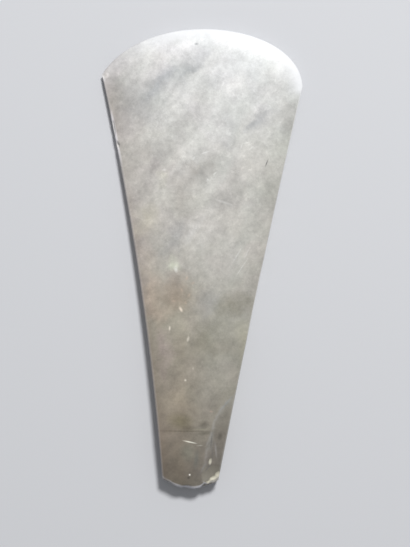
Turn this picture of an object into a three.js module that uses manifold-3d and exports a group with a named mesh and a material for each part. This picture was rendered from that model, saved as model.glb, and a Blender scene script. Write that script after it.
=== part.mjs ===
// Polished stone axe: a flared, flat-sided blade lying on its broad face.
//
// Millimetres. +X across the blade, +Y along it towards the cutting edge, +Z up.
// The origin is under the middle of the blade, on the surface that it lies on.
//
// The blade starts as a finely divided box. Every point of the box has three
// coordinates from -1 to 1: u across, v along and w through the blade. They are
// turned first into a place inside the blade's outline and then into a height.

import * as THREE from 'three';
import { mergeVertices } from 'three/addons/utils/BufferGeometryUtils.js';
import Module from 'manifold-3d';

// Outline, seen from above.
const LENGTH = 230;
const LEFT_CORNER = new THREE.Vector2(-50.4, 90.6);
const RIGHT_CORNER = new THREE.Vector2(50.4, 87.6);
const EDGE_PULL_LEFT = new THREE.Vector2(-28.1, 126.9);
const EDGE_PULL_RIGHT = new THREE.Vector2(47.9, 120.0);
const LEFT_HOLLOW = 7.2;
const RIGHT_HOLLOW = 1.9;
const BUTT_WIDTH = 28;
const BUTT_CORNER_Y = -110.4;
const BUTT_BULGE = 6.4;
const BUTT_PULL_X = 8;

// Thickness of one half, from the middle of the stone to one face.
const EDGE_HALF = 0.3;
const BEVEL_RISE = 2.2;
const BEVEL_REACH = 6.5;
const WEDGE_RISE = 3.1;
const WEDGE_SHARE = 0.62;
const BUTT_THINNING = 1.6;
const CROSS_POWER = 2.4;

// The ground sides are narrow strips that grow from the corners of the edge to the butt.
const SIDE_HALF_AT_CORNER = 0.4;
const SIDE_HALF_GROWTH = 4.3;
const SIDE_POWER = 1.6;
const SIDE_SHARE = 0.9;
const SIDE_THINNING = 1.2;
const ARRIS_RADIUS = 1.1;
const ARRIS_SHARE = 0.6;

// The blade rests on its belly, so the middle of the stone climbs towards the butt.
const MIDDLE_AT_EDGE = 3.5;
const MIDDLE_CLIMB = 3.6;

// Divisions of the starting box, and how even they are along the blade.
const ACROSS = 28;
const ALONG = 54;
const THROUGH = 2;
const EVEN_SHARE = 0.45;
const EDGE_SAMPLES = 160;

// Hollows left by struck flakes, at places in the box's u and v, on the upper (1) or
// the lower (-1) face. Width and length are those of the mouth, turn is in degrees.
const FLAKE_SCARS = [
  { name: 'long scar', face: 1, u: 0.97, v: -0.845, width: 14.6, length: 50, depth: 1.0, turn: -12 },
  { name: 'corner chip', face: 1, u: 0.88, v: -0.975, width: 15, length: 14, depth: 1.8, turn: -30 },
  { name: 'end chip', face: 1, u: -0.3, v: -1.03, width: 15, length: 7, depth: 1.2, turn: 5 },
  { name: 'edge chip', face: 1, u: -1.0, v: 0.99, width: 3.6, length: 2.6, depth: 0.5, turn: 20 },
  { name: 'lower scar', face: -1, u: -0.55, v: -0.99, width: 17, length: 22, depth: 1.7, turn: 15 },
  { name: 'lower chip', face: -1, u: 0.7, v: -1.0, width: 12, length: 12, depth: 1.3, turn: -20 },
];
const BOWL_HEIGHT = 4;

const { lerp } = THREE.MathUtils;

// A side runs from the butt to a corner of the edge, and is drawn in towards the axis.
function sideCurve(corner, hollow) {
  const outward = Math.sign(corner.x);
  const butt = new THREE.Vector2(outward * BUTT_WIDTH / 2, BUTT_CORNER_Y);
  const pull = butt.clone().add(corner).multiplyScalar(0.5);
  pull.x -= outward * hollow;
  return new THREE.QuadraticBezierCurve(butt, pull, corner);
}

function buttCurve() {
  const pullY = BUTT_CORNER_Y - BUTT_BULGE;
  return new THREE.CubicBezierCurve(
    new THREE.Vector2(-BUTT_WIDTH / 2, BUTT_CORNER_Y),
    new THREE.Vector2(-BUTT_PULL_X, pullY),
    new THREE.Vector2(BUTT_PULL_X, pullY),
    new THREE.Vector2(BUTT_WIDTH / 2, BUTT_CORNER_Y),
  );
}

const leftSide = sideCurve(LEFT_CORNER, LEFT_HOLLOW);
const rightSide = sideCurve(RIGHT_CORNER, RIGHT_HOLLOW);
const butt = buttCurve();
const edge = new THREE.CubicBezierCurve(LEFT_CORNER, EDGE_PULL_LEFT, EDGE_PULL_RIGHT, RIGHT_CORNER);
const edgePoints = edge.getPoints(EDGE_SAMPLES);

// Fills the outline: the blend of the two sides, plus that of the two ends, less the corners.
function placeInOutline(u, v) {
  const s = (u + 1) / 2;
  const t = (v + 1) / 2;
  const betweenSides = leftSide.getPoint(t).lerp(rightSide.getPoint(t), s);
  const betweenEnds = butt.getPoint(s).lerp(edge.getPoint(s), t);
  const nearButt = butt.v0.clone().lerp(butt.v3, s);
  const nearEdge = edge.v0.clone().lerp(edge.v3, s);
  return betweenSides.add(betweenEnds).sub(nearButt.lerp(nearEdge, t));
}

function distanceToEdge(place) {
  return Math.min(...edgePoints.map((point) => point.distanceTo(place)));
}

// Half the thickness on the long axis: a bevel that fades out, a long wedge, then a thinner butt.
function halfOnAxis(fromEdge, distance) {
  const bevel = BEVEL_RISE * Math.tanh(distance / BEVEL_REACH);
  const wedge = WEDGE_RISE * (1 - Math.max(1 - fromEdge / WEDGE_SHARE, 0) ** 2);
  const pastBelly = Math.max(fromEdge - WEDGE_SHARE, 0) / (1 - WEDGE_SHARE);
  return EDGE_HALF + bevel + wedge - BUTT_THINNING * pastBelly ** 2;
}

function halfOnSide(fromEdge) {
  const growth = 1 - Math.max(1 - fromEdge / SIDE_SHARE, 0) ** SIDE_POWER;
  const pastTallest = Math.max(fromEdge - SIDE_SHARE, 0) / (1 - SIDE_SHARE);
  return SIDE_HALF_AT_CORNER + SIDE_HALF_GROWTH * growth - SIDE_THINNING * pastTallest;
}

// How far the rounding of the arris lowers the face at a distance from the arris.
function arrisDrop(distance, radius) {
  const within = Math.max(radius - Math.max(distance, 0), 0);
  return radius - Math.sqrt(radius ** 2 - within ** 2);
}

function surfacePoint(u, v, w) {
  const place = placeInOutline(u, v);
  const fromEdge = (1 - v) / 2;
  const onSide = halfOnSide(fromEdge);
  const onAxis = halfOnAxis(fromEdge, distanceToEdge(place));
  const across = 1 - Math.abs(u) ** CROSS_POWER;
  const halfWidth = placeInOutline(1, v).distanceTo(placeInOutline(-1, v)) / 2;
  const toArris = Math.min((1 - Math.abs(u)) * halfWidth, (v + 1) / 2 * LENGTH);
  const drop = arrisDrop(toArris, Math.min(ARRIS_RADIUS, ARRIS_SHARE * onSide));
  const half = lerp(onSide, onAxis, across) - drop;
  const middle = MIDDLE_AT_EDGE + MIDDLE_CLIMB * fromEdge;
  return new THREE.Vector3(place.x, place.y, Math.max(middle + w * half, 0));
}

// Crowds the box's divisions towards its ends.
function crowd(value, evenShare) {
  return lerp(Math.sin(value * Math.PI / 2), value, evenShare);
}

function bladeGeometry() {
  const geometry = new THREE.BoxGeometry(2, 2, 2, ACROSS, ALONG, THROUGH);
  const position = geometry.getAttribute('position');
  for (let i = 0; i < position.count; i += 1) {
    const u = crowd(position.getX(i), 0);
    const v = crowd(position.getY(i), EVEN_SHARE);
    const point = surfacePoint(u, v, position.getZ(i));
    position.setXYZ(i, point.x, point.y, point.z);
  }
  return geometry;
}

// The bowl of a struck flake: a flattened ball of which only the tip bites into the face.
function scarGeometry({ face, u, v, width, length, depth, turn }) {
  const bowl = BOWL_HEIGHT * depth;
  const mouthShare = Math.sqrt(1 - (1 - 1 / BOWL_HEIGHT) ** 2);
  const centre = surfacePoint(u, v, face);
  const geometry = new THREE.SphereGeometry(1, 20, 14);
  geometry.scale(width / 2 / mouthShare, length / 2 / mouthShare, bowl);
  geometry.rotateZ(THREE.MathUtils.degToRad(turn));
  geometry.translate(centre.x, centre.y, centre.z + face * (bowl - depth));
  return geometry;
}

const wasm = await Module();
wasm.setup();

function toSolid(geometry) {
  geometry.deleteAttribute('normal');
  geometry.deleteAttribute('uv');
  const merged = mergeVertices(geometry);
  const vertProperties = merged.getAttribute('position').array;
  const triVerts = new Uint32Array(merged.getIndex().array);
  return new wasm.Manifold(new wasm.Mesh({ numProp: 3, vertProperties, triVerts }));
}

function toGeometry(solid) {
  const { vertProperties, triVerts } = solid.getMesh();
  const geometry = new THREE.BufferGeometry();
  geometry.setAttribute('position', new THREE.BufferAttribute(vertProperties, 3));
  geometry.setIndex(new THREE.BufferAttribute(triVerts, 1));
  return geometry;
}

// The middle of the blade's box goes over the origin. The belly already lies at height zero.
function centreOverOrigin(geometry) {
  geometry.computeBoundingBox();
  const middle = geometry.boundingBox.getCenter(new THREE.Vector3());
  geometry.translate(-middle.x, -middle.y, 0);
  geometry.computeVertexNormals();
  return geometry;
}

function axeHead() {
  let solid = toSolid(bladeGeometry());
  for (const scar of FLAKE_SCARS) {
    solid = solid.subtract(toSolid(scarGeometry(scar)));
  }
  const greenstone = new THREE.MeshStandardMaterial({ color: 0xb4b2a8, roughness: 0.42, metalness: 0 });
  const mesh = new THREE.Mesh(centreOverOrigin(toGeometry(solid)), greenstone);
  mesh.name = 'axe_head';
  return mesh;
}

const axe = new THREE.Group();
axe.add(axeHead());

export default axe;
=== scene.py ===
# The finish of a polished stone axe: one flared blade of greenstone, lying on its broad face.
# Metres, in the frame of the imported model: +X across the blade, +Y towards its edge, +Z up.
import math

import bmesh
import bpy
import numpy as np
from mathutils import Euler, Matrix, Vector, noise


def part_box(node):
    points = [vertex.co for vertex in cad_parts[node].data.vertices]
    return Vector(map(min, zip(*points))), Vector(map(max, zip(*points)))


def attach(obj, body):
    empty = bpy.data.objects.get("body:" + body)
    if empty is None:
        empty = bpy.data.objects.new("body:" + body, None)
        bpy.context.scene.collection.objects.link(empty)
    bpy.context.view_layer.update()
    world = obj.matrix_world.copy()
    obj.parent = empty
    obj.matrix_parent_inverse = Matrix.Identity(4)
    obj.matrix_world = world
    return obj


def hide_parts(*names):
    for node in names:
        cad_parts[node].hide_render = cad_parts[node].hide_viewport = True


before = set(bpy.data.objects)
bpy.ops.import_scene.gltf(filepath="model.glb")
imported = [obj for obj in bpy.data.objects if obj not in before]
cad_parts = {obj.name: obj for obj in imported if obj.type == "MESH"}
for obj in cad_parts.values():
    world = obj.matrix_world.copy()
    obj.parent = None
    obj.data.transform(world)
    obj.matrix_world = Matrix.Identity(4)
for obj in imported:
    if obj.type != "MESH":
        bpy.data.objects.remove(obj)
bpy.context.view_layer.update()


# ---- Axe head: the blade's form -------------------------------------------------------------
# One stone, ground to a flared outline with a low bevel along its curved edge and two flat
# sides that meet the broad faces in lightly rounded arrises. The butt was left as flaked.
# A finely divided cube is turned into the blade: its three coordinates, from -1 to 1, become
# u across, v along and w through the stone. Sizes in millimetres, from the box of the solid.
MM = 0.001
ACROSS, ALONG, THROUGH = 140, 290, 10
CROWDING_ACROSS, CROWDING_ALONG = 0.7, 0.3

solid_low, solid_high = (np.array(corner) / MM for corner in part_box("axe_head"))
HALF_WIDTH = solid_high[0]
LENGTH = solid_high[1] - solid_low[1]
LEFT_CORNER = (-HALF_WIDTH, 90.6)
RIGHT_CORNER = (HALF_WIDTH, 87.6)
EDGE_PULLS = ((-28.1, 126.9), (47.9, 120.0))
LEFT_HOLLOW, RIGHT_HOLLOW = 7.2, 1.9
BUTT_HALF_WIDTH = 14.0
BUTT_CORNER_Y = -110.4
BUTT_PULL_X, BUTT_BULGE = 8.0, 6.4


def bezier(points, t):
    """The Bezier curve of these points at the shares t of its length, one row for each t."""
    points = [np.asarray(point, float) for point in points]
    while len(points) > 1:
        points = [a + (b - a) * t[:, None] for a, b in zip(points, points[1:])]
    return np.broadcast_to(points[0], (len(t), 2))


def side_points(corner, hollow):
    outward = math.copysign(1, corner[0])
    butt = (outward * BUTT_HALF_WIDTH, BUTT_CORNER_Y)
    pull = ((butt[0] + corner[0]) / 2 - outward * hollow, (butt[1] + corner[1]) / 2)
    return butt, pull, corner


left_side = side_points(LEFT_CORNER, LEFT_HOLLOW)
right_side = side_points(RIGHT_CORNER, RIGHT_HOLLOW)
butt_end = (
    left_side[0],
    (-BUTT_PULL_X, BUTT_CORNER_Y - BUTT_BULGE),
    (BUTT_PULL_X, BUTT_CORNER_Y - BUTT_BULGE),
    right_side[0],
)
cutting_edge = (LEFT_CORNER, *EDGE_PULLS, RIGHT_CORNER)
LINE_POINTS = 400
edge_line = bezier(cutting_edge, np.linspace(0, 1, LINE_POINTS))
end_line = bezier(butt_end, np.linspace(0, 1, LINE_POINTS))
centring = (edge_line[:, 1].max() + end_line[:, 1].min()) / 2


def place_in_outline(u, v):
    """The blend of the two sides, plus that of the two ends, less the blend of the corners."""
    s, t = (u + 1) / 2, (v + 1) / 2
    across, along = s[:, None], t[:, None]
    sides = bezier(left_side, t) * (1 - across) + bezier(right_side, t) * across
    ends = bezier(butt_end, s) * (1 - along) + bezier(cutting_edge, s) * along
    corners = bezier((left_side[0], right_side[0]), s) * (1 - along)
    corners = corners + bezier((LEFT_CORNER, RIGHT_CORNER), s) * along
    return sides + ends - corners


# Half the thickness of the stone, on its long axis and at its ground sides.
EDGE_HALF, BEVEL_RISE, BEVEL_REACH = 0.3, 2.2, 6.5
WEDGE_RISE, WEDGE_SHARE, BUTT_THINNING, CROSS_POWER = 3.1, 0.62, 1.6, 2.4
SIDE_HALF_AT_CORNER, SIDE_HALF_GROWTH, SIDE_POWER = 0.4, 4.3, 1.6
SIDE_SHARE, SIDE_THINNING = 0.9, 1.2
ARRIS_RADIUS, ARRIS_SHARE = 1.1, 0.6
MIDDLE_AT_EDGE, MIDDLE_CLIMB = 3.5, 3.6


def distance_to(line, place):
    """The distance in plan to a line, measured to every second of its points."""
    nearest = np.full(len(place), np.inf)
    for point in line[::2]:
        nearest = np.minimum(nearest, np.hypot(*(place - point).T))
    return nearest


def half_width_at(v):
    """Half the blade's width at the shares v along it."""
    ones = np.ones_like(v)
    return np.hypot(*(place_in_outline(ones, v) - place_in_outline(-ones, v)).T) / 2


def heights(u, v, place):
    """The heights of the lower and the upper face over the places in the outline."""
    from_edge = (1 - v) / 2
    bevel = BEVEL_RISE * np.tanh(distance_to(edge_line, place) / BEVEL_REACH)
    wedge = WEDGE_RISE * (1 - np.maximum(1 - from_edge / WEDGE_SHARE, 0) ** 2)
    past_belly = np.maximum(from_edge - WEDGE_SHARE, 0) / (1 - WEDGE_SHARE)
    on_axis = EDGE_HALF + bevel + wedge - BUTT_THINNING * past_belly**2
    growth = 1 - np.maximum(1 - from_edge / SIDE_SHARE, 0) ** SIDE_POWER
    past_tallest = np.maximum(from_edge - SIDE_SHARE, 0) / (1 - SIDE_SHARE)
    on_side = SIDE_HALF_AT_CORNER + SIDE_HALF_GROWTH * growth - SIDE_THINNING * past_tallest
    to_side = np.maximum(1 - np.abs(u), 0) * half_width_at(v)
    to_arris = np.minimum(to_side, (v + 1) / 2 * LENGTH)
    radius = np.minimum(ARRIS_RADIUS, ARRIS_SHARE * on_side)
    within = np.maximum(radius - np.maximum(to_arris, 0), 0)
    drop = radius - np.sqrt(radius**2 - within**2)
    half = on_side + (on_axis - on_side) * (1 - np.abs(u) ** CROSS_POWER) - drop
    middle = MIDDLE_AT_EDGE + MIDDLE_CLIMB * from_edge
    return np.maximum(middle - half, 0), middle + half


# Hollows of struck flakes. The first six are in the solid too; the others are too small for it.
# Old ones have worn lips. Fresh ones are crisp, and show the pale inside of the stone.
FLAKE_SCARS = [
    # face, u, v, width, length, depth, turn in degrees, softness of the lip, fresh
    (1, 0.97, -0.845, 14.6, 50.0, 1.0, -12, 0.3, 0.0),
    (1, 0.88, -0.975, 15.0, 14.0, 1.8, -30, 0.2, 0.15),
    (1, -0.30, -1.030, 15.0, 7.0, 1.2, 5, 0.1, 0.0),
    (1, -1.00, 0.990, 3.6, 2.6, 0.5, 20, 0.0, 0.3),
    (-1, -0.55, -0.990, 17.0, 22.0, 1.7, 15, 0.2, 0.0),
    (-1, 0.70, -1.000, 12.0, 12.0, 1.3, -20, 0.1, 0.2),
    (1, 0.89, -0.966, 2.6, 3.4, 0.5, -30, 0.0, 0.9),
    (1, 0.76, -0.972, 2.2, 4.6, 0.5, -58, 0.0, 1.0),
    (1, 0.62, -0.982, 1.6, 3.2, 0.4, -60, 0.0, 0.7),
    (1, 0.51, -0.884, 1.6, 3.2, 0.3, -8, 0.0, 1.0),
    (1, -1.00, 0.730, 1.2, 6.0, 0.3, 10, 0.0, 0.3),
    (1, -1.00, 0.650, 1.8, 2.2, 0.3, 10, 0.0, 0.3),
    (1, -0.03, -0.934, 1.0, 1.2, 0.2, 0, 0.0, 0.2),
]
# Each is the tip of a flattened ball, BOWL_HEIGHT times as high as the hollow is deep, and its
# outline wanders. Stone that is a few SKINs below the old face shows as fully flaked.
BOWL_HEIGHT = 4
RIM_WIDTH, SKIN, SHARPEST_LIP = 1.3, 0.2, 0.001
LONG_SCAR, SMALL_FLAKE = 40.0, 8.0
BIG_WAVE, BIG_WANDER, BIG_SEED = 6.0, 0.12, 5.0
SMALL_WAVE, SMALL_WANDER, SMALL_SEED = 1.6, 0.45, 9.0


def wander(points, wavelength, seed=0.0):
    """Smooth noise from about -1 to 1 over points, which are rows in millimetres."""
    return np.array([noise.noise(Vector((*row, seed)[:3])) for row in points / wavelength])


def strike(face, u, v, width, length, depth, turn, lip, outline, place, surface):
    """The surface with one flake struck off, how fully it bites, and how near its rim is."""
    centre_u, centre_v = np.array([u]), np.array([v])
    centre = place_in_outline(centre_u, centre_v)
    ground = heights(centre_u, centre_v, centre)[1 if face > 0 else 0][0]
    mouth_share = math.sqrt(1 - (1 - 1 / BOWL_HEIGHT) ** 2)
    away = place - centre
    if width < SMALL_FLAKE:
        ground = surface[np.hypot(*away.T).argmin()]
    cos, sin = math.cos(math.radians(turn)), math.sin(math.radians(turn))
    across = (away[:, 0] * cos + away[:, 1] * sin) / (width / 2 / mouth_share)
    along = (away[:, 1] * cos - away[:, 0] * sin) / (length / 2 / mouth_share)
    reach = (across**2 + along**2) * (1 + outline)
    bowl = BOWL_HEIGHT * depth
    floor = ground + face * (bowl - depth - bowl * np.sqrt(np.maximum(1 - reach, 0)))
    above = np.where(reach < 1, face * (surface - floor), -bowl)
    blend = np.maximum(lip - np.abs(above), 0) ** 2 / (4 * max(lip, SHARPEST_LIP))
    struck = surface - face * (np.maximum(above, 0) + blend)
    steepness = 2 * depth / (width / 2)
    rim = np.exp(-((above / steepness / RIM_WIDTH) ** 2))
    return struck, 1 - np.exp(-np.maximum(above, 0) / SKIN), rim


blade = bmesh.new()
bmesh.ops.create_cube(blade, size=2)
for axis, divisions in enumerate((ACROSS, ALONG, THROUGH)):
    lengthwise = [
        edge
        for edge in blade.edges
        if abs(edge.verts[0].co[axis] - edge.verts[1].co[axis]) > 1
    ]
    bmesh.ops.subdivide_edges(blade, edges=lengthwise, cuts=divisions - 1, use_grid_fill=True)

cube = np.array([vert.co for vert in blade.verts])
u = cube[:, 0] + CROWDING_ACROSS * (np.sin(cube[:, 0] * math.pi / 2) - cube[:, 0])
v = cube[:, 1] + CROWDING_ALONG * (np.sin(cube[:, 1] * math.pi / 2) - cube[:, 1])
w = cube[:, 2]
place = place_in_outline(u, v)
lower, upper = heights(u, v, place)

# Grinding by hand leaves the faces very slightly uneven.
GRINDING_WAVE, GRINDING_DEPTH = 17.0, 0.05
upper = upper + GRINDING_DEPTH * wander(place, GRINDING_WAVE)
big_wave = wander(place, BIG_WAVE, BIG_SEED)
small_wave = wander(place, SMALL_WAVE, SMALL_SEED)
scar_ridge_highlight, flaked, fresh = np.zeros((3, len(place)))
for face, *scar, freshness in FLAKE_SCARS:
    _, _, width, length, *_ = scar
    outline = SMALL_WANDER * small_wave if width < SMALL_FLAKE else BIG_WANDER * big_wave
    surface = upper if face > 0 else lower
    surface, bitten, rim = strike(face, *scar, outline, place, surface)
    if face > 0:
        upper = surface
    else:
        lower = surface
    # On the walls a scar shows in the half that is next to its own face.
    bitten = bitten * np.clip(0.5 + w * face, 0, 1)
    shows_rim = (length > LONG_SCAR) & (w > 0.5)
    scar_ridge_highlight = np.maximum(scar_ridge_highlight * (1 - bitten), rim * shows_rim)
    flaked = np.maximum(flaked, bitten)
    fresh = fresh * (1 - bitten) + freshness * bitten
height = lower + (upper - lower) * (w + 1) / 2

# The broken end of the butt is uneven, and most deeply nicked beside its right corner. Its wall
# is grainy, and slightly hollow between the faces.
END_REACH = 3.0
END_WAVE, END_DEPTH = 4.5, 0.7
END_GRAIN, END_GRAIN_DEPTH = 1.7, 0.28
END_HOLLOW_WAVE, END_HOLLOW_DEPTH = 3.2, 1.3
BROKEN_REACH = (0.1, 0.6), (1.0, 0.0)
NICKS = [
    # x, width, depth
    (-10.0, 2.5, 0.4),
    (7.0, 1.3, 1.5),
    (9.8, 1.3, 0.8),
]
from_end = distance_to(end_line, place)
near_end = np.exp(-((from_end / END_REACH) ** 2))
end_points = np.column_stack([place, height])
end_wear = END_DEPTH * np.abs(wander(end_points, END_WAVE))
end_wear += END_GRAIN_DEPTH * np.abs(wander(end_points, END_GRAIN))
end_wear += END_HOLLOW_DEPTH * np.abs(wander(end_points, END_HOLLOW_WAVE)) * (1 - w**2)
for x, width, depth in NICKS:
    end_wear += depth * np.exp(-(((place[:, 0] - x) / width) ** 2)) * (w + 1) / 2
flaked = np.maximum(flaked, np.interp(from_end, *BROKEN_REACH))
worn_place = place.copy()
worn_place[:, 1] += near_end * end_wear

for vert, (x, y), z in zip(blade.verts, worn_place, height):
    vert.co = Vector((x, y - centring, z)) * MM
bmesh.ops.recalc_face_normals(blade, faces=blade.faces)
for polygon in blade.faces:
    polygon.smooth = True
axe_mesh = bpy.data.meshes.new("greenstone_blade")
blade.to_mesh(axe_mesh)
blade.free()
greenstone_blade = bpy.data.objects.new("greenstone_blade", axe_mesh)
bpy.context.scene.collection.objects.link(greenstone_blade)

# Where each part of the finish lies, painted light and shade among them, as shares from 0 to 1 that
# are kept on the mesh. Each profile is a row of positions, then the share at each. ACROSS is u for
# the two margins, the stain and the painted edge highlight and millimetres for the end rim, ALONG
# is millimetres along the blade, REACH is millimetres in from the line that is named, and WALL is w
# through the stone.
FACE_WALL = (0.0, 0.8), (0.0, 1.0)
ARRIS_WALL = (0.6, 1.0), (0.0, 1.0)
RIM_WALL = (0.8, 1.0), (0.0, 1.0)
# Painted shade along the two margins, where the face curves away from the sheen of the light; on
# the left it is warm, a painted reflection.
LEFT_MARGIN_SHADE_ACROSS = (-1.0, -0.85, -0.6, 0.0), (1.0, 0.65, 0.3, 0.0)
LEFT_MARGIN_SHADE_ALONG = (10, 38, 58, 68, 80, 92), (1.0, 0.65, 0.65, 1.0, 1.0, 0.7)
RIGHT_MARGIN_SHADE_ACROSS = (0.3, 0.7, 1.0), (0.0, 0.8, 1.0)
HAFT_STAIN_ACROSS = (-1.0, -0.6, -0.3, 0.15), (0.5, 0.7, 1.0, 0.0)
HAFT_STAIN_ALONG = (-20, -5), (1.0, 0.0)
# A painted highlight along the cutting edge, stronger towards the right.
EDGE_HIGHLIGHT_REACH = (0.0, 2.5, 5.5, 9.0), (1.0, 0.85, 0.25, 0.0)
EDGE_HIGHLIGHT_ACROSS = (-1.0, -0.75, -0.55, -0.35), (0.1, 0.2, 0.4, 1.0)
LEFT_ARRIS_REACH = (0.6, 1.7), (1.0, 0.0)
LEFT_ARRIS_ALONG = (44, 52, 68, 73, 87, 89), (0.17, 1.0, 1.0, 0.17, 0.17, 1.0)
# A painted highlight along the right arris.
RIGHT_ARRIS_HIGHLIGHT_REACH = (0.7, 1.6), (1.0, 0.0)
RIGHT_ARRIS_HIGHLIGHT_ALONG = (-40, -24, -8, 0, 30, 85), (0.2, 1.0, 0.8, 0.4, 0.55, 0.9)
END_RIM_REACH = (0.8, 1.5), (1.0, 0.0)
END_RIM_ACROSS = (-12, -6, 5, 9), (0.25, 0.9, 1.0, 0.2)
# A painted highlight along the ridge of the long flake scar.
SCAR_RIDGE_HIGHLIGHT_ALONG = (-112, -106, -97, -84, -72, -66), (0.2, 0.5, 0.8, 1.0, 0.9, 0.1)
RIM_STRENGTH, FAINTEST_RIM = 0.75, 0.3

across_blade, along_blade = place.T
from_edge = distance_to(edge_line, place)
from_left, from_right = (u + 1) * half_width_at(v), (1 - u) * half_width_at(v)
off_the_walls = np.interp(np.abs(w), *ARRIS_WALL)
SHARES = {
    "faces_up": np.interp(w, *FACE_WALL),
    "left_margin_shade": np.interp(u, *LEFT_MARGIN_SHADE_ACROSS)
    * np.interp(along_blade, *LEFT_MARGIN_SHADE_ALONG),
    "right_margin_shade": np.interp(u, *RIGHT_MARGIN_SHADE_ACROSS),
    "haft_stain": np.interp(u, *HAFT_STAIN_ACROSS) * np.interp(along_blade, *HAFT_STAIN_ALONG),
    "edge_highlight": np.interp(from_edge, *EDGE_HIGHLIGHT_REACH) * np.interp(u, *EDGE_HIGHLIGHT_ACROSS),
    "left_arris": np.interp(from_left, *LEFT_ARRIS_REACH)
    * np.interp(along_blade, *LEFT_ARRIS_ALONG)
    * off_the_walls,
    "right_arris_highlight": np.interp(from_right, *RIGHT_ARRIS_HIGHLIGHT_REACH)
    * np.interp(along_blade, *RIGHT_ARRIS_HIGHLIGHT_ALONG)
    * off_the_walls,
    "end_rim": np.interp(from_end, *END_RIM_REACH)
    * np.interp(across_blade, *END_RIM_ACROSS)
    * np.interp(w, *RIM_WALL),
    "scar_ridge_highlight": scar_ridge_highlight
    * np.interp(along_blade, *SCAR_RIDGE_HIGHLIGHT_ALONG)
    * np.clip(RIM_STRENGTH + small_wave, FAINTEST_RIM, 1.0),
    "flaked": flaked,
    "fresh": fresh,
}
for name, share in SHARES.items():
    axe_mesh.attributes.new(name, "FLOAT", "POINT").data.foreach_set("value", share)


# ---- Axe head: the finish -------------------------------------------------------------------
# Greenstone, ground on wet sand and polished by long rubbing: a close satin over clouded stone,
# paler towards the edge and darker and browner towards the butt.
def linear(hex_colour):
    """An sRGB colour written as six hex digits, as the linear values that a shader takes."""
    channels = [int(hex_colour[i : i + 2], 16) / 255 for i in (0, 2, 4)]
    return [c / 12.92 if c <= 0.04045 else ((c + 0.055) / 1.055) ** 2.4 for c in channels] + [1]


def add_node(material, kind, links=None, **settings):
    """Adds a node, sets its properties and sockets, and links what is given as a socket.

    A socket goes by its name, or by its number where the node has several of that name.
    """
    node = material.node_tree.nodes.new("ShaderNode" + kind)
    for name, value in settings.items():
        setattr(node, name, value)
    for socket, value in (links or {}).items():
        if isinstance(value, bpy.types.NodeSocket):
            material.node_tree.links.new(value, node.inputs[socket])
        else:
            node.inputs[socket].default_value = value
    return node


greenstone = bpy.data.materials.new("polished_greenstone")
greenstone.use_nodes = True
shader = greenstone.node_tree.nodes["Principled BSDF"]
coordinates = add_node(greenstone, "TexCoord").outputs["Object"]
millimetres = add_node(
    greenstone, "VectorMath", {0: coordinates, 3: 1 / MM}, operation="SCALE"
).outputs[0]
along = add_node(greenstone, "SeparateXYZ", {0: millimetres}).outputs["Y"]
share_of = {
    name: add_node(greenstone, "Attribute", attribute_name=name).outputs["Fac"] for name in SHARES
}

# The body of the stone: pale at the edge, olive grey in the middle, brown at the butt.
share_along = add_node(
    greenstone, "MapRange", {0: along, "From Min": -LENGTH / 2, "From Max": LENGTH / 2}
).outputs[0]
STONE_TONES = [
    (0.00, "6e685e"),
    (0.07, "7d766b"),
    (0.15, "928b7f"),
    (0.33, "a4a196"),
    (0.55, "c0bdb6"),
    (0.70, "c6c4be"),
    (0.85, "cbcbc8"),
    (1.00, "d4d6d5"),
]
body = add_node(greenstone, "ValToRGB", {0: share_along})
ramp = body.color_ramp.elements
for position, colour in STONE_TONES[1:-1]:
    ramp.new(position)
for element, (position, colour) in zip(ramp, STONE_TONES):
    element.position = position
    element.color = linear(colour)
body_colour = body.outputs[0]

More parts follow.
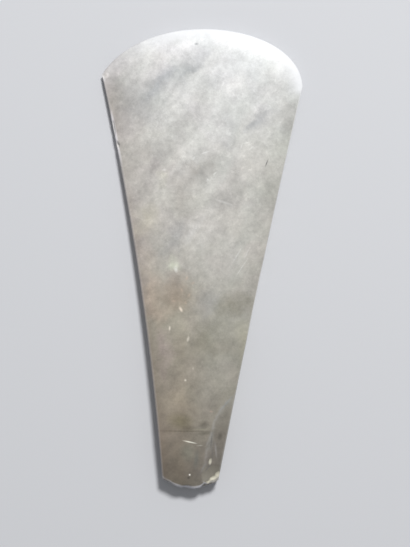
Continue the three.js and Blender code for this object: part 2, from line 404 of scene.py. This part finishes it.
# Clouds inside the stone, each a soft oval. They wander, so that none shows its outline.
CLOUD_WAVE, CLOUD_WANDER, CLOUD_DEPTH = 14.0, 20.0, 60.0
drift = add_node(
    greenstone,
    "TexNoise",
    {"Vector": millimetres, "Scale": 1 / CLOUD_WAVE, "Detail": 5.0, "Roughness": 0.62},
).outputs["Color"]
centred_drift = add_node(
    greenstone, "VectorMath", {0: drift, 1: (0.5, 0.5, 0.5)}, operation="SUBTRACT"
).outputs[0]
wandering = add_node(
    greenstone,
    "VectorMath",
    {0: centred_drift, 1: (CLOUD_WANDER,) * 3, 2: millimetres},
    operation="MULTIPLY_ADD",
).outputs[0]
CLOUDS = [
    # colour, strength, x, y, half length, half width, turn in degrees
    ("8b9095", 0.42, -24, 83, 30, 11, 47),
    ("838a92", 0.35, -16, 91, 22, 5, 48),
    ("6e7580", 0.45, -5, 94, 8, 4, 60),
    ("8f949a", 0.35, -1, 103, 9, 4, 50),
    ("8e948c", 0.34, -41, 79, 9, 13, 0),
    ("8f969c", 0.16, 14, 95, 16, 5, 50),
    ("8a8f93", 0.50, 31, 71, 17, 5, 57),
    ("7c8186", 0.50, 26, 67, 7, 4, 55),
    ("94928e", 0.30, 42, 72, 5, 11, 8),
    ("9a9d9c", 0.40, 15, 65, 14, 5, 72),
    ("6f6a62", 0.44, 0, 41, 9, 6, 30),
    ("8a7e6c", 0.35, -4, 44, 5, 4, 0),
    ("7c7872", 0.40, 5, 45, 8, 6, 30),
    ("94928c", 0.35, -4, 23, 10, 7, 60),
    ("8a8588", 0.45, -21, 47, 15, 5, 66),
    ("8a8783", 0.55, 13, 28, 11, 5, -15),
    ("9b9d9b", 0.40, 14, 47, 12, 8, 50),
    ("9b9a94", 0.35, 29, 28, 24, 7, 78),
    ("9c9b95", 0.45, 20, 35, 18, 11, 85),
    ("98978f", 0.40, 34, 32, 28, 8, 80),
    ("9b9a94", 0.25, 18, 12, 16, 8, 60),
    ("868a92", 0.30, -12, 10, 18, 6, 50),
    ("857d74", 0.30, -8, 34, 13, 6, 85),
    ("a58f7a", 0.30, -12, -19, 13, 15, 0),
    ("7d6a58", 0.40, -8, -17, 7, 11, -8),
    ("80858a", 0.38, 7, -22, 12, 7, 50),
    ("75715f", 0.66, 19, -22.5, 10, 7, 0),
    ("75715f", 0.25, 25, -22, 5, 5, 0),
    ("6d6957", 0.42, 5, -41, 15, 8, 62),
    ("7a7766", 0.42, 11, -40, 26, 9, 78),
    ("8a8579", 0.32, -9, -50, 12, 7, 70),
    ("f4f4f0", 0.60, -19, 99, 17, 9, 25),
    ("f0f0ec", 0.38, -11, 79, 32, 6, 48),
    ("e6ebdf", 0.22, -24, 62, 12, 8, 20),
    ("f2f2ee", 0.35, 14, 85, 15, 4, 50),
    ("f0f0ec", 0.35, 0, 61, 14, 8, 50),
    ("f0eee8", 0.35, -8, 51, 12, 5, 60),
    ("f0f0ea", 0.30, 36, 80, 7, 5, 45),
    ("fcfcfe", 0.40, 44, 92, 12, 7, -50),
    ("fafafc", 0.32, -12, 106, 19, 5, 8),
    ("f2f4f4", 0.36, -29, 104, 11, 5, 35),
    ("f2f2f2", 0.40, 11, 97, 12, 6, 30),
    ("d4d2b8", 0.36, -26, 18, 11, 9, 60),
    ("d4d4b4", 0.24, -17, 39, 7, 4, 80),
    ("e6e4de", 0.35, -19, 33, 12, 3, 75),
    ("e4e4e0", 0.30, -2, 15, 11, 3.5, 60),
    ("d8e0c8", 0.35, -12, -4, 4, 6, 20),
    ("d2c4b4", 0.40, -21, -16, 28, 6, -80),
    ("9a9a94", 0.35, 20, -6, 11, 7, 60),
    ("8f8e82", 0.34, 18, -13, 10, 7, 0),
    ("bebfb0", 0.45, -8, -34, 6, 9, 10),
    ("b8a8ad", 0.42, -16, -46, 16, 6, -80),
    ("b8b7ab", 0.35, 14, -58, 12, 12, 25),
    ("c4c0a8", 0.42, 24, -40, 6, 13, 12),
    ("b4a898", 0.35, -8, -71, 10, 12, 40),
    ("9a9384", 0.35, 3, -77, 12, 7, 0),
]
# Small things on the face, in the same columns: the line that the haft left, smears, scratches
# and specks, and painted highlight and painted shade along the ridge of the long flake scar.
MARKS = [
    ("5d5645", 0.70, -4, -86.3, 17, 0.45, 1),
    ("8c8762", 0.45, -6.5, -81.0, 8.0, 5.0, 0),
    ("5f5b45", 0.50, -4.2, -82.6, 6.0, 5.0, 0),
    ("5d5746", 0.60, -1.5, -84.8, 4.0, 2.0, 0),
    ("575145", 0.75, 6, -82.6, 3.2, 2.6, 0),
    ("585346", 0.70, 6.4, -87.0, 4.5, 1.4, 4),
    ("4f4a3e", 0.80, 14.2, -88.2, 1.6, 2.4, 0),
    ("5d5746", 0.40, -11, -86.0, 4, 2.5, 0),
    ("a39e88", 0.60, 4.5, -85.2, 5, 0.45, 2),
    ("858a80", 0.50, -2, -96.5, 5, 6, 0),
    ("656a66", 0.60, 2.6, -100, 6, 1.6, 86),
    # The next three: a painted highlight on the ridge of the long flake scar, and painted shade in
    # thin dark lines along it.
    ("a0a09a", 0.50, 9.8, -91, 6, 1.8, 84),
    ("65625e", 0.80, 9.9, -90.5, 6, 0.5, 86),
    ("6a6763", 0.60, 10.6, -97.0, 4, 0.45, 96),
    # The next: a painted highlight along the upper end of that ridge.
    ("8f9294", 0.80, 17.0, -71.6, 8, 0.5, 50),
    ("8c8a86", 0.60, 6.2, -104.5, 4, 1.0, 62),
    ("57525a", 0.70, 8.6, -104.2, 3.6, 0.6, 55),
    ("e8e7dc", 1.60, -0.8, -91.6, 4.3, 0.45, -10),
    ("c2c0b4", 0.70, 4.2, -93.2, 2.0, 0.4, 4),
    ("62605e", 1.20, 33.4, 48.4, 2.7, 0.4, 70),
    ("6e7477", 0.95, -3.4, 107.2, 1.3, 0.9, 10),
    ("fafaf8", 1.60, -48.4, 90.3, 2.1, 1.7, 30),
    ("e6e6e4", 0.30, -2.0, 13.5, 12.0, 2.6, 57),
    ("e6e6e4", 0.12, 1.5, 8.0, 12.0, 5.0, 60),
    ("d4d3cf", 0.60, 12.5, 28.2, 6.5, 0.8, -17),
    ("dde4cf", 0.55, -12.3, -4.2, 3.0, 2.0, 70),
    ("f2f4ec", 0.90, -10.3, -5.9, 1.3, 2.2, 15),
    ("e6ead8", 0.60, -10.2, -4.0, 1.6, 2.4, -30),
    ("cfbdac", 0.60, -4.7, -10.1, 1.7, 0.9, 70),
    ("cfbdac", 0.55, -1.6, -12.6, 1.5, 1.0, 40),
    ("cfbdac", 0.50, -7.0, -16.2, 1.3, 0.8, 110),
    ("cfbdac", 0.55, -3.4, -18.6, 1.6, 0.8, 60),
    ("cfbdac", 0.50, -10.9, -21.8, 1.4, 0.9, 0),
    ("cfbdac", 0.50, -4.8, -22.4, 1.2, 0.8, 100),
    ("e8e4da", 1.20, -12.5, -35.4, 1.5, 0.7, 92),
    ("f2e8dc", 1.30, -7.2, -25.8, 1.9, 0.9, 122),
    ("dedbd0", 1.10, -3.2, -40.4, 1.8, 0.9, 75),
    ("c9c6ba", 0.80, -0.3, -55.0, 1.0, 0.5, 90),
    ("dedcd0", 1.20, -3.9, -60.9, 0.8, 0.8, 0),
    ("b8a496", 0.90, 9.4, -76.1, 1.2, 0.7, 0),
    ("f0f0ec", 0.50, 20.6, 56.4, 1.8, 0.6, 70),
    ("f0f0ec", 0.50, 23.0, 58.2, 2.4, 0.6, 15),
    ("f0f0ec", 0.50, 25.4, 55.6, 2.0, 0.6, 40),
    ("f0f0ec", 0.60, -17.5, 43.5, 1.2, 0.8, 0),
    ("ecece8", 0.50, 14.5, 62.4, 1.4, 1.0, 30),
    ("f2f2ee", 0.60, -3.0, 49.7, 1.2, 0.7, 60),
    ("f2f2ee", 0.50, 2.5, 52.7, 3.0, 0.5, 20),
    ("f2f2ee", 0.50, 4.3, 39.2, 0.9, 0.7, 0),
    ("eeeeea", 0.45, 7.8, 42.5, 1.6, 0.6, 40),
    ("eeeeea", 0.45, 39.5, 80.0, 1.8, 1.2, 70),
    ("eeeeea", 0.40, 36.0, 84.5, 2.4, 0.6, 30),
    ("dcdcd8", 0.50, 20.0, 2.0, 6.0, 0.5, 60),
    ("dcdcd8", 0.45, 22.5, -4.0, 7.0, 0.5, 58),
    ("dcdcd8", 0.40, 25.0, 3.5, 5.0, 0.5, 65),
    ("3a362f", 0.80, -0.9, -109.4, 1.0, 0.8, 0),
    ("f8f6f0", 1.50, -0.4, -107.9, 0.6, 0.6, 0),
    ("c9c6c4", 0.35, 12.2, -95.0, 5.5, 0.8, 98),
]
clouded = body_colour
for ovals, pattern_space in ((CLOUDS, wandering), (MARKS, millimetres)):
    for colour, strength, x, y, half_length, half_width, turn in ovals:
        oval = add_node(
            greenstone,
            "Mapping",
            {
                "Vector": pattern_space,
                "Location": (x, y, 0),
                "Rotation": (0, 0, math.radians(turn)),
                "Scale": (half_length, half_width, CLOUD_DEPTH),
            },
            vector_type="TEXTURE",
        ).outputs[0]
        fade = add_node(
            greenstone, "TexGradient", {0: oval}, gradient_type="SPHERICAL"
        ).outputs["Fac"]
        amount = add_node(
            greenstone, "Math", {0: fade, 1: strength}, operation="MULTIPLY"
        ).outputs[0]
        clouded = add_node(
            greenstone, "Mix", {0: amount, 6: clouded, 7: linear(colour)}, data_type="RGBA"
        ).outputs[2]
stone_colour = add_node(
    greenstone, "Mix", {0: share_of["faces_up"], 6: body_colour, 7: clouded}, data_type="RGBA"
).outputs[2]

# Mottling: long diagonal wisps, and a close mottle down to the grain of the stone.
WISP_SIZE, WISP_TURN, WISP_TONE = (26.0, 6.0, 26.0), 50, 0.40
MOTTLE_SIZE, MOTTLE_TONE = 5.0, 0.95
TINT_SIZE, TINT_AMOUNT = 16.0, 0.06
wisp_space = add_node(
    greenstone,
    "Mapping",
    {"Vector": millimetres, "Rotation": (0, 0, math.radians(WISP_TURN)), "Scale": WISP_SIZE},
    vector_type="TEXTURE",
).outputs[0]
wisps = add_node(
    greenstone, "TexNoise", {0: wisp_space, "Scale": 1.0, "Detail": 5.0, "Distortion": 0.4}
).outputs["Fac"]
mottle = add_node(
    greenstone,
    "TexNoise",
    {0: millimetres, "Scale": 1 / MOTTLE_SIZE, "Detail": 4.0, "Roughness": 0.85},
).outputs["Fac"]
tone = 1 - WISP_TONE / 2 - MOTTLE_TONE / 2
for pattern, amount in ((wisps, WISP_TONE), (mottle, MOTTLE_TONE)):
    tone = add_node(
        greenstone, "Math", {0: pattern, 1: amount, 2: tone}, operation="MULTIPLY_ADD"
    ).outputs[0]
tint = add_node(
    greenstone, "TexNoise", {0: wandering, "Scale": 1 / TINT_SIZE, "Detail": 2.0}
).outputs["Color"]
tinting = add_node(
    greenstone,
    "VectorMath",
    {0: tint, 1: (TINT_AMOUNT,) * 3, 2: (1 - TINT_AMOUNT / 2,) * 3},
    operation="MULTIPLY_ADD",
).outputs[0]
toned = add_node(greenstone, "VectorMath", {0: stone_colour, 3: tone}, operation="SCALE").outputs[0]
stone_colour = add_node(
    greenstone, "VectorMath", {0: toned, 1: tinting}, operation="MULTIPLY"
).outputs[0]

# Fine pale flecks, which fade out towards the butt.
FLECK_SIZE, FLECK_BRIGHTNESS, FAINTEST_FLECK = 3.2, 0.15, 0.05
FLECK_THRESHOLD, FLECK_FULL = 0.56, 0.72
FLECKS_START, FLECKS_IN_FULL = -60.0, 30.0
fleck_noise = add_node(
    greenstone,
    "TexNoise",
    {0: millimetres, "Scale": 1 / FLECK_SIZE, "Detail": 3.0, "Roughness": 0.7, "Distortion": 0.6},
).outputs["Fac"]
flecks = add_node(
    greenstone, "MapRange", {0: fleck_noise, 1: FLECK_THRESHOLD, 2: FLECK_FULL}
).outputs[0]
fleck_share = add_node(
    greenstone,
    "MapRange",
    {0: along, 1: FLECKS_START, 2: FLECKS_IN_FULL, 3: FAINTEST_FLECK, 4: FLECK_BRIGHTNESS},
).outputs[0]
brightening = add_node(
    greenstone, "Math", {0: flecks, 1: fleck_share, 2: 1.0}, operation="MULTIPLY_ADD"
).outputs[0]
stone_colour = add_node(
    greenstone, "VectorMath", {0: stone_colour, 3: brightening}, operation="SCALE"
).outputs[0]

# Over the stone: painted shade along the margins, warm on the left as a painted reflection, the
# stain from the haft, a painted highlight along the cutting edge, the worn left arris, a painted
# highlight along the right arris, a pale line along the rim of the butt end, a painted highlight
# along the ridge of the long scar, dull old flaking, and the pale fresh breaks.
LAYERS = [
    # share, strength, colour, how it lies over the stone
    # The next two are painted shade along the margins, warm on the left as a painted reflection.
    ("left_margin_shade", 1.0, "e7deda", "MULTIPLY"),
    ("right_margin_shade", 1.0, "f3f3f1", "MULTIPLY"),
    ("haft_stain", 1.0, "fffaf3", "MULTIPLY"),
    # The next is a painted highlight along the cutting edge.
    ("edge_highlight", 0.85, "f4f5f7", "MIX"),
    ("left_arris", 0.90, "f8f4f6", "MIX"),
    # The next is a painted highlight along the right arris.
    ("right_arris_highlight", 0.75, "f4f4f4", "MIX"),
    ("end_rim", 0.75, "dedee4", "MIX"),
    ("flaked", 1.0, "f0f1f3", "MULTIPLY"),
    # The next is a painted highlight along the ridge of the long scar.
    ("scar_ridge_highlight", 0.22, "c0c2c4", "MIX"),
    ("fresh", 0.9, "dedac6", "MIX"),
]
for name, strength, colour, blend in LAYERS:
    amount = add_node(
        greenstone, "Math", {0: share_of[name], 1: strength}, operation="MULTIPLY"
    ).outputs[0]
    stone_colour = add_node(
        greenstone,
        "Mix",
        {0: amount, 6: stone_colour, 7: linear(colour)},
        data_type="RGBA",
        blend_type=blend,
    ).outputs[2]
greenstone.node_tree.links.new(stone_colour, shader.inputs["Base Color"])

# Satin where it is ground and rubbed, matt in the flaked hollows and on the fresh breaks.
POLISH, FLAKED_MATT, GREENSTONE_IOR = 0.42, 0.2, 1.61
gloss = add_node(
    greenstone, "Math", {0: share_of["flaked"], 1: FLAKED_MATT, 2: POLISH}, operation="MULTIPLY_ADD"
).outputs[0]
greenstone.node_tree.links.new(gloss, shader.inputs["Roughness"])
shader.inputs["IOR"].default_value = GREENSTONE_IOR

# The grain of the stone stands very slightly proud.
GRAIN_SIZE, GRAIN_HEIGHT = 1.1, 0.02
grain = add_node(
    greenstone, "TexNoise", {0: millimetres, "Scale": 1 / GRAIN_SIZE, "Detail": 3.0}
).outputs["Fac"]
relief = add_node(
    greenstone, "Bump", {"Height": grain, "Distance": GRAIN_HEIGHT * MM, "Strength": 1.0}
).outputs[0]
greenstone.node_tree.links.new(relief, shader.inputs["Normal"])
axe_mesh.materials.append(greenstone)
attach(greenstone_blade, "root")
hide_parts("axe_head")


# ---- Floor, lights and camera ---------------------------------------------------------------
# A plain pale table top under a soft studio light, seen from straight above.
TABLE_SIZE, TABLE_ROUGHNESS = 4.0, 0.9
table_shape = bmesh.new()
bmesh.ops.create_grid(table_shape, x_segments=1, y_segments=1, size=TABLE_SIZE / 2)
table_mesh = bpy.data.meshes.new("table_top")
table_shape.to_mesh(table_mesh)
table_shape.free()
table_top = bpy.data.objects.new("table_top", table_mesh)
bpy.context.scene.collection.objects.link(table_top)
table_paint = bpy.data.materials.new("matt_table_paint")
table_paint.use_nodes = True
table_shader = table_paint.node_tree.nodes["Principled BSDF"]
table_shader.inputs["Base Color"].default_value = linear("d6d7da")
table_shader.inputs["Roughness"].default_value = TABLE_ROUGHNESS
table_mesh.materials.append(table_paint)

KEY_DIRECTION = Vector((0.186, 0.523, 0.832))
KEY_DISTANCE, KEY_SIZE, KEY_POWER = 2.0, 0.4, 33.0
key_data = bpy.data.lights.new("key_light", "AREA")
key_data.shape = "DISK"
key_data.size = KEY_SIZE
key_data.energy = KEY_POWER
key_light = bpy.data.objects.new("key_light", key_data)
key_light.location = KEY_DIRECTION * KEY_DISTANCE
key_light.rotation_euler = KEY_DIRECTION.to_track_quat("Z", "Y").to_euler()
bpy.context.scene.collection.objects.link(key_light)

ROOM_LIGHT = 0.3
room = bpy.data.worlds.new("studio")
room.use_nodes = True
room_light = room.node_tree.nodes["Background"]
room_light.inputs["Color"].default_value = linear("f2f4f8")
room_light.inputs["Strength"].default_value = ROOM_LIGHT
bpy.context.scene.world = room

CAMERA_HEIGHT = 0.8
VIEW_CENTRE = (4.26 * MM, -7.60 * MM)
VIEW_LENGTH = 273.95 * MM
VIEW_ROLL = math.radians(1.7)
SENSOR = 36.0
camera_data = bpy.data.cameras.new("camera")
camera_data.sensor_width = SENSOR
camera_data.lens = SENSOR * (CAMERA_HEIGHT - solid_high[2] * MM / 2) / VIEW_LENGTH
camera = bpy.data.objects.new("camera", camera_data)
camera.location = (*VIEW_CENTRE, CAMERA_HEIGHT)
camera.rotation_euler = Euler((0, 0, VIEW_ROLL))
bpy.context.scene.collection.objects.link(camera)
bpy.context.scene.camera = camera
bpy.context.scene.view_settings.view_transform = "Standard"
